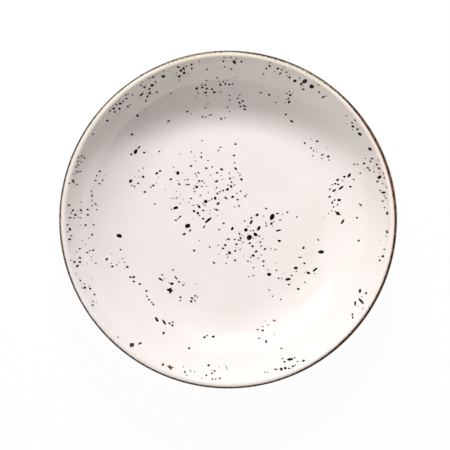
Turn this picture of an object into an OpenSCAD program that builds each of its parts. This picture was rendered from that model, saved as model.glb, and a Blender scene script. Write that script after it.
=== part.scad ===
// Deep plate: a pressed ceramic body with a foot ring, glazed inside, outside and under the floor,
// with a brown band along the lip, and dark and rust flecks scattered over the glaze.
// The plate stands on z = 0, and z is the axis that its section is turned about.

/* [Plate] */
// Diameter over the rim
plate_d = 250; // [220:1:300]
// Height from the table to the top of the lip
plate_h = 50; // [44:1:60]
// Thickness of the wall and of the floor, glaze included
shell_t = 5.5; // [4.5:0.1:7]
// Radius of the inner curve that runs up from the flat floor to the lip
bowl_r = 55; // [48:1:64]

/* [Foot ring] */
// Diameter over the foot ring
foot_d = 140; // [120:1:160]
// Width of the foot ring
foot_w = 5; // [4:0.1:8]
// Height of the floor's underside over the table
foot_h = 3.5; // [3.2:0.1:5]
// Bevel along both edges of the resting face
foot_bevel = 0.8; // [0.4:0.1:1]
// Radius of the hollow where the ring's outside runs into the wall
foot_hollow = 1.5; // [0.8:0.1:1.6]

/* [Glaze] */
// Thickness of the glaze coats and of the rim band
glaze_t = 0.4; // [0.2:0.05:0.8]
// Hairline that keeps the coats just clear of the clay
coat_gap = 0.02; // [0.01:0.01:0.05]
// Height over the table at which the glaze on the foot ring stops
glaze_stop = 1.1; // [1:0.05:1.2]
// Angle round the lip, up from its outermost line, at which the rim band ends
band_end = 88; // [30:1:100]

/* [Flecks] */
// Thickness of a fleck over the glaze
fleck_t = 0.08; // [0.05:0.01:0.15]
// Size of the laid flecks over their size on the plan
fleck_size = 1.15; // [0.8:0.05:1.2]
// Length of the smallest flecks in a swarm
fine_min = 0.7; // [0.6:0.1:0.9]
// Length of the largest flecks in a swarm
fine_max = 1.2; // [1:0.1:1.6]
// Least room between two flecks
fleck_gap = 0.15; // [0.1:0.05:0.5]
// Number of flecks tried on the outside of the wall
outside_count = 70; // [20:1:120]

/* [Hidden] */
$fn = 96;

// The section of the wall: a flat floor, one arc about bowl_c, and a full round lip about lip_c
bed_t = glaze_t + coat_gap;
lip_r = shell_t / 2;
floor_z = foot_h + shell_t;
bowl_out = bowl_r + shell_t;
lip_c = [plate_d / 2 - lip_r, plate_h - lip_r];
wall_a = acos((floor_z + bowl_r - lip_c.y) / (bowl_r + lip_r));
floor_r = lip_c.x - (bowl_r + lip_r) * sin(wall_a);
bowl_c = [floor_r, floor_z + bowl_r];
edge_r = floor_r + bowl_r * sin(wall_a);

// The foot ring, and the hollow about hollow_c between the glaze on its outside and the wall
foot_out = foot_d / 2;
foot_in = foot_out - foot_w;
hollow_x = foot_out + bed_t + foot_hollow;
hollow_reach = 0.98 * foot_hollow;
hollow_c = [hollow_x, under_z(hollow_x, hollow_reach)];
hollow_a = hollow_x < floor_r ? 90 : 90 + asin((hollow_x - floor_r) / (bowl_out + hollow_reach));
hollow_steps = 6;

// Height of the wall's outside at radius r, or of a line that keeps a gap below it
function under_z(r, gap = 0) =
    r < floor_r ? foot_h - gap : bowl_c.y - sqrt(pow(bowl_out + gap, 2) - pow(r - floor_r, 2));

// Points on a round of radius r in the hollow, from the ring's outside up to the wall
function hollow_arc(r) = [
    for (i = [0:hollow_steps])
        let (a = 180 + (hollow_a - 180) * i / hollow_steps)
            hollow_c + r * [cos(a), sin(a)]
];

// Point inside the wall, straight in from the end of such a round
function into_wall(r) = hollow_c + (r + lip_r) * [cos(hollow_a), sin(hollow_a)];

// Points on the lip's round at radius r that the rim band runs through, with one on its outermost line
band_low = 4;
band_high = 14;
function band_arc(r) = [
    for (i = [-band_low:band_high])
        let (a = i < 0 ? (90 - wall_a) * i / band_low : band_end * i / band_high)
            lip_c + r * [cos(a), sin(a)]
];

function reversed(list) = [for (i = [len(list) - 1:-1:0]) list[i]];

// Slice of pie about the origin, between two directions
module wedge(reach, from, to) {
    steps = 4;
    arc = [for (i = [0:steps]) let (a = from + (to - from) * i / steps) reach * [cos(a), sin(a)]];
    polygon(concat([[0, 0]], arc));
}

// Stretch of a round band about a centre, between two radii and two directions
module arc_band(centre, r_in, r_out, from, to) {
    translate(centre)
        intersection() {
            difference() {
                circle(r_out);
                circle(r_in);
            }
            wedge(1.5 * r_out, from, to);
        }
}

// Coat of the wall's underside, before it is cut at the foot ring
module under_coat() {
    translate([0, foot_h]) square([floor_r, glaze_t]);
    arc_band(bowl_c, bowl_out - glaze_t, bowl_out, -90, wall_a - 90);
}

module ceramic_body() {
    hollow_r = foot_hollow + bed_t;
    ring = concat(
        [
            [foot_in, under_z(foot_in) + lip_r],
            [foot_in, foot_bevel],
            [foot_in + foot_bevel, 0],
            [foot_out - foot_bevel, 0],
            [foot_out, foot_bevel]
        ],
        hollow_arc(hollow_r),
        [into_wall(hollow_r)]
    );
    color("wheat")
        rotate_extrude() {
            translate([0, foot_h + bed_t]) square([floor_r, shell_t - 2 * bed_t]);
            arc_band(bowl_c, bowl_r + bed_t, bowl_out - bed_t, -90, wall_a - 90);
            translate(lip_c)
                intersection() {
                    circle(lip_r - bed_t);
                    wedge(2 * lip_r, wall_a - 90, wall_a + 90);
                }
            polygon(ring);
        }
}

module inner_glaze() {
    color("linen")
        rotate_extrude() {
            translate([0, floor_z - glaze_t]) square([floor_r, glaze_t]);
            arc_band(bowl_c, bowl_r, bowl_r + glaze_t, -90, wall_a - 90);
            arc_band(lip_c, lip_r - glaze_t, lip_r, band_end, wall_a + 90);
        }
}

// All that lies within the outside of the wall and of the foot ring, or within a line that keeps
// a gap inside them, from a low end at the ring to a top end some degrees past the wall's arc
module within_outside(gap, low, past) {
    hollow_r = foot_hollow + gap;
    end = into_wall(hollow_r);
    ring = concat([[0, low], [foot_out + bed_t - gap, low]], hollow_arc(hollow_r), [end, [0, end.y]]);
    polygon(ring);
    translate([0, foot_h + gap]) square([floor_r, shell_t]);
    arc_band(bowl_c, bowl_r - gap, bowl_out - gap, -90, wall_a - 90 + past);
}

module outer_glaze() {
    color("oldlace")
        rotate_extrude()
            difference() {
                within_outside(0, glaze_stop, 0);
                within_outside(glaze_t, 0, 2);
            }
}

module base_glaze() {
    side_h = under_z(foot_in) + glaze_t / 2 - glaze_stop;
    color("oldlace")
        rotate_extrude() {
            intersection() {
                under_coat();
                square([foot_in - coat_gap, plate_h]);
            }
            translate([foot_in - bed_t, glaze_stop]) square([glaze_t, side_h]);
        }
}

module rim_band() {
    color("saddlebrown")
        rotate_extrude() polygon(concat(band_arc(lip_r), reversed(band_arc(lip_r - glaze_t))));
}

// The flecks are laid out on a plan of the plate, for a wall whose inner edge has a radius of layout_r.
// The plan and its flecks are drawn out or in with the real edge, and end at crest_r, short of the
// lip's crest. On the wall a fleck is drawn out up the slope, so that from above it looks as on the plan,
// but no farther than the room that is left below the wall's inner edge.
layout_r = 120;
spread = edge_r / layout_r;
grow = fleck_size * spread;
crest_r = edge_r + lip_r / 2;
AT = 0;
LENGTH = 1;
WIDTH = 2;
LEAN = 3;
SEED = 4;

// Dark flecks that the photograph shows: across, up, length, width, lean of the long side
dark_laid = [
    // Floor, left of the middle
    [-40.2, 9, 4, 2.5, 18], [-36.7, 2.3, 1.9, 1.2, 42], [-38.3, 0.8, 1.5, 0.8, 42],
    [-39.9, -0.4, 1.5, 1.2, 10], [-30.8, -4.8, 3.9, 2.8, 30], [-33.5, -11, 2.2, 1.5, 30],
    [-15, -0.2, 5.8, 1.6, 43], [-19, 0.7, 1.6, 1.5, 0], [-18.3, -5.5, 2.5, 1, 45],
    [-17, 13.9, 2.5, 2.2, 40], [-22, 10, 2, 1.7, 0], [-26, 6.5, 1.9, 1.5, 10], [-23, 5, 1.9, 1.6, -30],
    [-24, 25.2, 2.2, 1.8, 40], [-9.9, 16.5, 2.5, 1.8, -60], [-8.8, 29.4, 2.6, 1.2, 30],
    [-38.5, 35.8, 2.7, 2.1, 90], [-43.7, 31.1, 1.7, 1.3, 40], [-37.3, 27.3, 1.6, 1.4, -20],
    [-31, 30.8, 1.2, 1.1, 0], [-31.8, 26.9, 1.2, 1.1, 0], [-30.1, 26.9, 1.2, 1.1, 0],
    [-22, 29.7, 1.8, 1.2, -45], [-19.7, 29.7, 1.2, 1, 45], [-22.6, 35.9, 1.6, 0.8, -40],
    [-24.9, 35.2, 1.1, 0.8, 0], [-28.3, 16.3, 1.5, 1, 15], [-21.2, 18.5, 1.6, 0.7, 45],
    [-26.5, 11, 1.1, 0.9, 0], [-23.7, 11.4, 1, 0.9, 0], [-19, 7.1, 1.5, 1.2, 0],
    [-12.4, 15.8, 1.3, 1, 70], [-8.2, 20, 1.7, 1.2, -25], [-6.3, 21.4, 1.3, 1, 60],
    [-3.8, 22.5, 1.3, 1.2, 0], [-8.7, 24.5, 1.3, 1.1, 60], [-0.4, 23.2, 2.2, 1.6, 45],
    [-1.7, 16.7, 2.8, 1.3, -42], [-39, 17.2, 1.1, 0.7, 20], [-41, 16.3, 0.9, 0.7, 0],
    [-43.2, 16.3, 0.9, 0.7, 0], [-56, 12.2, 1.2, 1, 0], [-30, 13.3, 0.9, 0.7, 20],
    [-26.3, 23.8, 0.9, 0.8, 0], [-24, 33.4, 1.2, 0.7, -45], [-18.2, 28, 0.9, 0.7, 0],
    [-21.8, 3.3, 1, 0.7, -20], [-14, 4.6, 0.9, 0.7, 70], [-43.4, 7.9, 0.9, 0.8, 0],
    [-17.6, 11, 1, 0.8, 0], [-14.6, 14.6, 0.9, 0.7, 0], [-19, 12.4, 1, 0.8, 0],
    [-33, 30.5, 0.9, 0.8, 0],
    // Floor, above the middle
    [-4.9, 38.5, 2.4, 1.3, -20], [5.8, 39.1, 2.7, 1.4, -60], [3.6, 17.5, 2.2, 1.7, 20],
    [2.3, 25.5, 2, 1.4, -50], [-28.2, 41.2, 1.7, 1.5, 20], [-16.7, 39.4, 1.8, 1.3, -25],
    [-12, 40.6, 1.5, 1, 50], [-8.3, 36, 1.5, 1.2, 20], [4.6, 49.2, 1.6, 1.3, 0],
    [5.7, 58, 1.4, 1.2, 20], [5, 43.6, 1.1, 0.9, 60], [1.4, 31.7, 1.5, 1.3, 20],
    [10.3, 31, 1.7, 1.5, 0], [2.6, 28.8, 1.7, 1, -45], [4.8, 26.5, 1.2, 0.8, 40],
    [9.7, 21.9, 1.4, 1.1, 45], [13, 18, 1.3, 1, -20], [14.3, 19.5, 1, 0.8, 60],
    [7.4, 15.4, 1.6, 1.2, -40], [8.3, 10.7, 1.6, 1, -45], [6.7, 20.2, 1, 0.8, 0], [5, 9.8, 0.9, 0.8, 0],
    [-15.3, 45.3, 1.2, 0.8, 10], [-5.8, 55.5, 1.2, 0.9, 20], [-7.3, 53, 1.2, 0.8, 20],
    [-19.8, 60.5, 1, 0.8, 0], [-28, 52, 1, 0.8, 60], [-25, 45, 0.9, 0.8, 0], [-5.3, 33.7, 0.9, 0.8, 0],
    [-4.5, 31, 0.9, 0.7, 0], [-13.5, 34.2, 0.9, 0.7, -30],
    // Floor, right of the middle and below it
    [33.6, 2, 4.4, 3.4, 70], [33.2, -2.9, 2.1, 1.4, 25], [22.3, 3.7, 2.7, 2, 25],
    [17.9, 1.4, 1.5, 1.3, 60], [17.6, -1.9, 3.2, 1.6, 62], [16.5, -13.7, 4.3, 3.2, 73],
    [20.9, -11.3, 3, 2.3, -20], [23.8, -12.5, 1.4, 0.9, -10], [13.8, -7.8, 2.7, 2.1, 80],
    [23.4, -6.6, 3.3, 2, 58], [38.6, -8.2, 3.9, 1.3, 16], [39.2, -16.2, 2.2, 1.6, 10],
    [3.4, -6.7, 2.4, 1.9, 60], [1.1, -25.3, 2.1, 1.9, 0], [29.2, 8.6, 1.6, 1.2, -10],
    [45.5, 5.8, 1.3, 1.2, 70], [37.8, 4.9, 2.3, 1.1, 12], [40, -0.3, 1.8, 0.8, 0],
    [52.6, 2.2, 1.2, 1, 60], [27.3, 2.9, 0.9, 0.8, 0], [12.8, -1, 1.3, 0.9, 90],
    [28.9, -2.4, 1.4, 0.9, 30], [29.3, -4.6, 1.2, 0.8, 15], [19.3, -8.3, 1.2, 1, -60],
    [17.2, -8.5, 0.9, 0.7, 0], [15.4, -5, 0.9, 0.7, 0], [8.8, -10.8, 1.4, 1.1, 80],
    [9.6, -14, 2, 1.2, -50], [8.1, -15.5, 1.2, 1, 0], [5.2, -15.1, 1.2, 1, 10],
    [0.4, -14.8, 1.8, 1.5, -20], [24.7, -17, 1.6, 0.9, 45], [16.6, -18, 1.6, 1.1, 30],
    [11.5, -17.3, 1, 0.8, 0], [26.6, -14.6, 0.9, 0.8, 0], [6.5, -18.8, 1.7, 1.4, -20],
    [-2.2, -19.4, 1.8, 1.7, 0], [18.8, -20.2, 1.8, 1.3, 10], [28.2, -22.3, 1.9, 1.1, 50],
    [36.2, -22.8, 1.3, 0.9, -30], [33, -22.2, 0.9, 0.7, -40], [21.6, -24.3, 2.2, 1.4, 25],
    [5.6, -23.8, 1.5, 1.3, 45], [-0.9, -26.6, 1.2, 0.9, -20], [19.3, -27.3, 2, 1.6, 20],
    [23.2, -29.3, 1, 0.8, 60], [5.4, -31, 1.6, 1.3, -15], [15.3, -31.7, 1.2, 1, 30],
    [27.1, -31.7, 1.7, 1.4, 10], [27.1, -35.3, 1.3, 1.2, 50], [19.5, -36.6, 1.1, 0.8, 0],
    [-3.4, -2.7, 1.5, 1.3, 0], [-6.7, -7.6, 1.4, 1, -40], [-14, -20.8, 1.3, 1, -60],
    [-25.9, -23.7, 1.6, 1.5, 0], [-3.8, -22, 1.8, 1.2, 15], [-10.8, -32.9, 2.2, 1.1, -28],
    [-7.5, -19.6, 1, 0.7, 0], [-21.9, -15.8, 0.9, 0.7, 0], [-1.3, -33.3, 1, 0.8, 0],
    [-0.3, -28.6, 0.9, 0.7, 60],
    // Floor, lower right
    [31.6, -41.8, 3, 2.8, 0], [46, -45.5, 3.4, 2.3, 15], [51.9, -36.8, 2.8, 1.7, 12],
    [61.6, -40.7, 2.8, 2.1, -20], [66.7, -38.1, 4.3, 1.5, 40], [71.3, -24.5, 4, 2.3, 5],
    [57.8, -21.5, 1.8, 1.4, 90], [58.5, -33.4, 1.7, 1.3, 0], [53.8, -52.9, 1.9, 1.7, 0],
    [52.3, -39.4, 1.1, 0.8, 20], [37.1, -38.7, 1.3, 1, -20], [19.5, -42.6, 1.2, 0.9, 0],
    [48.7, -42.6, 1.5, 1, -25], [38.7, -44.8, 1.3, 1, 15], [46.4, -49.5, 1.2, 1, -40],
    [58.8, -47.8, 1, 0.8, 0], [31.6, -53.7, 1.1, 0.8, -40], [34.1, -58.5, 1.1, 0.9, 0],
    [40.4, -60.9, 1.2, 0.9, 10], [69.1, -15.3, 1.8, 1.1, -55], [16, -43.5, 0.9, 0.7, 0],
    [41.2, -44.8, 0.9, 0.7, 0],
    // Floor, left edge and lower left
    [-70.5, 52, 3.3, 2.7, 70], [-68, 55.1, 2.4, 1.2, 42], [-73.8, 49.8, 1.6, 1.2, 0],
    [-64.1, 51.3, 1.7, 1.3, 0], [-74.5, 29.5, 2.7, 2.2, 25], [-65, 32.8, 1.7, 1.5, 0],
    [-68.8, 27.8, 1.3, 1.1, 0], [-71.8, 25.7, 1.3, 0.9, 30], [-73.6, 26.4, 0.9, 0.8, 0],
    [-63.7, 21.3, 1.8, 1.2, 20], [-54.5, 35.5, 2.3, 1.3, 38], [-52, 37.2, 1.6, 1.3, 30],
    [-57.2, 26.2, 1.8, 1.2, 35], [-59, 25, 1.1, 0.9, 20], [-52.5, 52.3, 1.1, 0.9, 0],
    [-68.3, 37.3, 1, 0.8, 0], [-64.7, 39.5, 1, 0.7, 60], [-83, -12.2, 3.8, 2.6, 0],
    [-82.1, -22.9, 1.4, 1.2, 0], [-76.9, -36.1, 2, 1.5, -40], [-80.5, -29.7, 0.9, 0.8, 0],
    [-79, -32.6, 0.9, 0.8, 0], [-74.6, -43.9, 1.6, 1.3, 0], [-72.1, -43.8, 2, 1.6, 20],
    [-71.8, -47.2, 1.6, 1.3, -20], [-67.4, -49.1, 1.8, 1.3, -35], [-62.2, -54.4, 1.5, 1.3, 20],
    [-61.9, -58.4, 1.4, 1, -30], [-60.3, -61.1, 1.6, 1, 0], [-58.3, -63.1, 1.4, 0.9, -30],
    [-57, -64.7, 1.6, 1.1, -30], [-51.7, -45.5, 4, 1.3, -40], [-50.5, -42.2, 1.2, 0.9, -10],
    [-43, -49, 2.6, 1.6, 10], [-39.9, -44.4, 3, 0.9, -48], [-37.5, -47.5, 1.5, 1, -40],
    [-34.4, -50.2, 1.4, 1.1, 15], [-42, -38.3, 1.2, 1, 0], [-36.4, -59.3, 1.6, 1.3, 0],
    [-36.7, -61.8, 1.3, 0.8, 0], [-25.2, -58.2, 1.3, 1, -30], [-23.2, -59.3, 1, 0.8, 0],
    // Lower wall and under the near lip
    [-54.2, -75.9, 4, 1.5, -52], [-48.7, -77.9, 3.9, 1.5, -55], [-44.5, -79, 2, 1.4, -40],
    [-42.2, -80.5, 1.7, 1.2, 0], [-42.2, -78.1, 1.3, 1, 0], [-48.9, -86.1, 2.1, 1.6, 60],
    [-18, -89.6, 1.8, 1.5, 0], [-16, -88.3, 1.2, 0.9, 0], [-11.3, -89.2, 2, 1.7, 20],
    [29, -92.6, 2.3, 1.5, 75], [26.5, -84.4, 1.7, 1.1, -10], [22.8, -83.8, 2.2, 0.8, 0],
    [26.6, -81.6, 1.1, 0.7, 0], [23.6, -90.2, 1.4, 0.9, 0], [40.3, -97.3, 1.5, 1, 0],
    [-29.4, -97.5, 1.5, 1.2, 0], [-14.7, -109.6, 1.7, 1.4, -20], [-48.4, -107.9, 1.9, 1.6, 0],
    [-32.2, -113.5, 1.7, 1.1, -45], [-30.8, -115.6, 1, 0.8, 0], [-28, -113, 1, 0.8, 0],
    [-25.1, -113.6, 1, 0.7, 0], [-33.4, -110.2, 1.2, 0.7, 10], [-12.1, -114.9, 1.5, 1.2, 0],
    [-10.1, -113.5, 1.5, 1.2, 0], [-16.2, -116.2, 1.6, 1.2, 10], [-11.6, -118.6, 1.2, 1, 0],
    [-9.2, -118.6, 1.1, 0.9, 0], [-6.2, -118.2, 1.8, 1.3, 15], [-19.4, -117.9, 0.9, 0.7, 0],
    [46.4, -104.6, 4.2, 1.8, 12], [49.8, -103.4, 1.4, 1, 30], [42.3, -106.4, 1.6, 1.2, -10],
    [41, -104.3, 1.1, 0.8, 0], [51.8, -105.8, 1.3, 0.9, 10], [56.2, -104.9, 1.8, 1.5, 20],
    [48.2, -109, 1.8, 1.4, 10], [39.6, -111.4, 2.6, 2.1, 0], [42.6, -110.6, 2.2, 1.7, 30],
    [45.3, -110.5, 1.7, 1.3, 0], [35.6, -111.6, 2.9, 0.9, 0], [27.4, -113.8, 1.1, 0.9, 0],
    [29.5, -113.8, 0.9, 0.7, 0], [-66.1, -92.9, 2.6, 1.5, 25], [-81.7, -87.4, 1.9, 1.3, 25],
    [-100.7, -63.6, 1.5, 1.2, 0], [-100.7, -60.8, 1.1, 1, 60],
    // Right wall
    [86.3, 24.4, 4.2, 1.5, 35], [92, 33.6, 3.4, 1.4, 65], [84.9, 15.1, 2.5, 2, 15],
    [79.8, 13.2, 2, 1.3, 75], [81.4, 15.1, 1.4, 1.1, 40], [87.4, -1.6, 4.2, 1.4, 60],
    [99.1, -53.6, 3.2, 1.7, 67], [99.5, -61, 4.6, 1.8, -58], [95.3, -62.8, 3.7, 1.5, 80],
    [103, -54.9, 1.7, 1.2, 50], [99.1, -15.8, 1.5, 1.2, 10], [100, -66, 1.8, 1.4, 10],
    [92.8, -70.8, 1.4, 1.1, 80], [92.9, -72.9, 1.4, 1.1, 80], [88.6, 32.7, 2, 1.6, -30],
    [83.5, 30.4, 2.1, 1.7, 20], [82, 27.6, 1.5, 1.2, 20], [84.1, 27, 1.4, 1, 0],
    [93, 25.2, 1.8, 1.2, 20], [95.2, 30.6, 1.6, 0.7, -45], [77.8, 17.6, 1.9, 1.4, 15],
    [80.8, 9.8, 1.5, 1.1, 20], [83.7, 11.5, 1.4, 0.8, 70], [79.3, 6.9, 1.1, 0.9, 0],
    [100.5, 11.2, 2.6, 1.1, -45], [98, 1.6, 1.4, 1.1, 0], [87.3, 29.8, 0.9, 0.8, 0],
    [79.6, 26.7, 0.9, 0.8, 20], [68, 59.8, 1.7, 1.4, 0], [63.3, 54.8, 1.3, 1.1, 0],
    [65.5, 52.7, 1.1, 0.8, 0], [64.9, 48.9, 1, 0.8, -40], [71.6, 46.8, 1.1, 0.9, 0],
    [58.6, 58.5, 1.4, 1.2, 45], [76.4, 48.3, 1.9, 1.4, 30], [102.4, 42.4, 1.6, 1.3, 10],
    [95.4, 41.9, 1.3, 1.1, 0], [97.7, 41.9, 1.1, 0.9, 0], [105.1, 39, 1.5, 1.2, -30],
    [106.4, 37.2, 1.5, 1.2, -50], [99.9, 35.1, 1.2, 0.9, 20], [107.4, 45.7, 1.7, 1.2, -20],
    [106.5, 43.5, 1.6, 1, -45], [111.4, 44.2, 1.7, 1.2, -50], [110.8, 41, 1.5, 1.2, -30],
    [112.3, 38.1, 2, 1.3, -50],
    // Under the right lip
    [118.4, 4.9, 2.3, 1.3, 70], [115.9, 20.3, 2.7, 1.4, 0], [113.7, 21.9, 1.3, 1.1, 30],
    [112.9, 31.6, 3.1, 2.1, 55], [115.9, 31, 1.8, 1.5, 0], [115.1, 34.3, 1.9, 1.4, 40],
    [111.7, 28.6, 1.5, 1.2, -40], [117.6, 24.2, 1.6, 1.3, 0], [115.4, 13.9, 1.3, 1, 0],
    [117.4, 15.8, 1.4, 0.9, -40], [116.5, 17.6, 1, 0.8, -40], [116.7, 9, 1, 0.9, 40],
    [105.7, 52.6, 3, 1.5, -50], [98.3, 63.8, 2.7, 1.8, -40], [93.2, 69.6, 1.9, 1.4, -45],
    [92.4, 72.2, 1.4, 1, -45], [94.2, 73.8, 2.2, 1.6, 45], [96.5, 67.3, 1.5, 1.3, 20],
    [115.2, -27.3, 2.2, 1.4, 50], [116.2, -22.1, 1.3, 1, 20],
    // Far wall and under the far lip, right of the middle
    [62.2, 99.3, 3.5, 2.3, -30], [57.1, 103, 3, 2.7, 40], [50, 103.8, 2.1, 1.9, 0],
    [54.6, 101.4, 2, 1.5, -45], [56.5, 97.8, 1.5, 1.3, 0], [67, 99.8, 1.6, 1.3, 0],
    [67.9, 95.2, 1.6, 1.1, -50], [70.9, 91.6, 1.6, 1.3, 0], [72.9, 92.1, 1.1, 0.8, 0],
    [48.6, 75.1, 2.7, 1.4, -28], [47, 94.2, 1.9, 1.7, 0], [46.3, 89.3, 2.1, 1.9, 0],
    [45.6, 91.7, 1.4, 1.1, 20], [44.2, 95.6, 1.1, 0.8, 0], [46.3, 96.8, 1, 0.8, 0],
    [44, 80.2, 1.4, 1.1, 0], [36.4, 89.2, 1.2, 1, 0], [31.2, 94.8, 1.6, 1.4, 0],
    [24.7, 96.4, 1.3, 1.1, 0], [46, 106.3, 1.6, 1.3, 10], [43.4, 109.8, 1.5, 1.1, 30],
    [39, 109.3, 1.7, 1.3, 10], [39.9, 111.5, 1.5, 0.9, -10], [37, 112.4, 1.7, 1.4, 0],
    [41.4, 112.8, 1.2, 0.9, 40], [30.9, 114.4, 1.6, 1.3, 0], [28.5, 112.9, 1.5, 1.1, 0],
    [30.8, 116.4, 1.1, 0.9, 0], [26.4, 109.4, 1.1, 0.9, 0], [53.2, 105.3, 1.1, 0.9, 0],
    [10, 117.7, 1.4, 1.2, 0], [4.6, 117.4, 2.8, 2, -30], [6, 119.4, 1.5, 1.2, 60],
    [2.1, 120.2, 1.4, 1.1, 0], [2.4, 113.1, 1.4, 1.1, 10], [0.9, 102.5, 1.5, 1.1, 0],
    [3.4, 102.7, 1.4, 1.1, 0], [8.7, 89.2, 1.7, 1.4, 0], [11.2, 90.5, 1.5, 1.2, 0],
    [12.6, 86.7, 1.9, 1.3, 0], [9.4, 86.4, 1.4, 1.1, 0], [12.8, 84.4, 1.8, 1.4, 20],
    [7.2, 92.4, 1.3, 0.9, 40], [8.9, 94.8, 1, 0.8, 0], [1.2, 94.6, 1.1, 0.9, 0],
    [1.2, 91.1, 1.2, 0.9, 0], [1.3, 82.7, 1.1, 0.8, 0],
    // Far wall and under the far lip, left of the middle
    [-2.8, 120, 1.5, 1.2, 20], [-3.6, 118, 1.5, 1.1, 0], [-2.6, 114.5, 1.2, 0.9, -40],
    [-15.9, 112.7, 1.3, 1.1, 30], [-2.1, 102.9, 1.4, 1.1, 0], [-3.7, 104.5, 1.4, 1.1, 30],
    [-5.8, 102.2, 1.9, 1.1, -45], [-0.6, 85.8, 1.1, 0.8, 0], [-23.8, 99.4, 1.9, 1.5, 20],
    [-19.5, 100.2, 1.6, 1.2, 0], [-17.1, 101.9, 1.3, 1.1, 0], [-16.2, 99.3, 1.9, 1.5, 10],
    [-17, 96.5, 1.9, 1.5, 10], [-12.1, 99, 1.8, 1.4, 0], [-10.4, 96.8, 1.8, 1.6, 0],
    [-23, 96.6, 1, 0.8, 0], [-16.2, 94.3, 0.9, 0.7, 0], [-19.6, 102, 1, 0.7, 0],
    [-31, 82.5, 1.5, 1.2, 10], [-17.3, 85.3, 1.2, 0.9, 0], [-13.8, 80, 1.4, 1.1, 20],
    [-19.4, 78.7, 1.4, 1.2, 20], [-16.9, 78.4, 0.9, 0.7, 0], [-5.3, 77.2, 1.5, 1.2, 20],
    [-2.6, 77.7, 0.9, 0.7, 0], [-45.6, 75.1, 2, 1.3, 40], [-43.4, 95.6, 1.2, 0.9, 0],
    [-8.5, 107.3, 1, 0.8, 0], [-16.4, 105.2, 1, 0.8, 0], [-33, 109.9, 2.1, 1.6, 10],
    [-37.1, 113.3, 2.6, 1.5, -43], [-36.7, 107.5, 2, 1.5, 20], [-33.2, 112.7, 2, 1.5, 15],
    [-31, 114.3, 1.4, 1.1, 30], [-27.2, 115.4, 1.6, 1.2, 0], [-27.1, 112.9, 1.4, 1.1, 20],
    [-37, 105, 1.1, 0.8, 0], [-21.2, 117.5, 1, 0.8, 0], [-47.9, 110.2, 1.5, 1.3, 0],
    [-48.3, 106.8, 3.3, 1.5, 22], [-55.6, 105.8, 2.5, 1.8, 15], [-58.7, 104.6, 1.8, 1.3, 0],
    [-54.2, 102.9, 1.4, 1, 30], [-56.9, 100.4, 2.9, 1.6, 22], [-59, 97.9, 1.9, 1.1, 40],
    [-62.5, 98.8, 1.7, 1.3, 0], [-64.8, 99.8, 1.5, 1, -20], [-63.6, 102, 1.3, 0.9, 0],
    [-58.9, 95.2, 2.3, 1.3, 50], [-60.8, 92.6, 1.8, 1.1, 50], [-61.9, 89.6, 1.8, 1.1, 55],
    [-53.7, 96, 1.8, 0.9, 40], [-64.9, 93.8, 3.2, 1.3, 40], [-75.8, 92.6, 1.6, 1.3, 20],
    [-75.8, 90.2, 1.5, 1.2, 0], [-71.2, 93, 1.8, 0.9, 75], [-78.2, 88.2, 1.4, 1.1, 40],
    [-80.4, 86.4, 2.1, 1.6, 20], [-83.1, 85.6, 1.6, 1.2, 20], [-85.2, 82.6, 1.8, 1.6, 0],
    [-84.6, 80.4, 1.4, 1.1, 0], [-87.8, 80.8, 1.6, 1.4, 0], [-81.2, 82.8, 1.5, 1.2, 20],
    [-75.2, 84.9, 1.7, 1.3, 20], [-73.2, 86.4, 1.1, 0.8, 30], [-68.5, 78.6, 1.9, 1.5, -40],
    [-90.2, 73.9, 1.6, 1.4, 0], [-100.4, 63.6, 1.3, 1.1, 0], [-73, 64.9, 1.7, 1.4, 0],
    // Left wall and under the left lip
    [-111.5, 43.2, 1.7, 1.5, -50], [-110.9, 46, 1.8, 1.5, -60], [-108.9, 47.4, 1.4, 1.1, -40],
    [-107.2, 46, 1.4, 1.1, -60], [-109.7, 43, 1.2, 1, 0], [-111.6, 40.6, 1.3, 1, 0],
    [-113, 39, 1.8, 1.4, -60], [-112.4, 35.6, 1.4, 1.1, 20], [-110.5, 36, 1.2, 1, 0],
    [-115.2, 28.5, 2.9, 1.5, -58], [-117.4, 26.7, 1.5, 1.2, -20], [-113, 26.3, 1.2, 1, 0],
    [-97, 36.6, 1.8, 1.3, 25], [-99.5, 33.2, 1.2, 0.9, 60], [-100.2, 29.6, 1.3, 1, 0],
    [-97.5, 27.3, 1.4, 1.1, 0], [-95.2, 30, 1.2, 1.1, 0], [-103, 18.1, 1.6, 1.1, -60],
    [-103.4, 21.4, 1.6, 0.7, -80], [-103.1, 14.6, 1.6, 0.7, -80], [-100.6, 11.9, 2.6, 0.8, -55],
    [-99.6, 7.6, 1, 0.8, 60], [-118.3, 10.7, 1.7, 1.5, 0], [-115.9, 6.9, 1.7, 1.2, 50],
    [-117.1, 4.9, 1.4, 1, 40], [-110.7, 7.2, 1.7, 1.3, -30], [-106, 7.6, 1.5, 1.2, -20],
    [-106, 3.7, 1.6, 1.4, 0], [-114.4, 3.6, 1.6, 1.4, -20], [-117.9, 1.4, 1.6, 1.4, 0],
    [-119.3, -3.9, 1.4, 1.2, 0], [-117.8, -7.3, 2.1, 1.4, 90], [-119.1, -9.1, 1.1, 0.9, 0],
    [-117, -12, 1.3, 1, 0], [-118, -14.7, 2.7, 1.7, 0], [-107.5, -4.2, 1.7, 1.2, -45],
    [-101.9, -3.8, 1.2, 0.9, 0], [-102.9, -11.5, 1.6, 1.2, -30], [-105.2, -13.8, 1, 0.7, 60],
    [-102, -23.1, 1.5, 1.1, 0], [-111.3, -21.9, 1.3, 1, -45], [-106.1, -24.9, 1.3, 1, 0],
    [-113.3, -24.2, 0.9, 0.7, 60], [-110.9, -28.7, 1.5, 1.2, -40], [-114.4, -31.6, 1.8, 1.5, 0],
    [-110.8, -31.8, 1.6, 1.4, 0], [-112.3, -34.5, 1.9, 1.4, 70], [-116.6, -30.2, 1.2, 0.9, 0],
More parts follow.
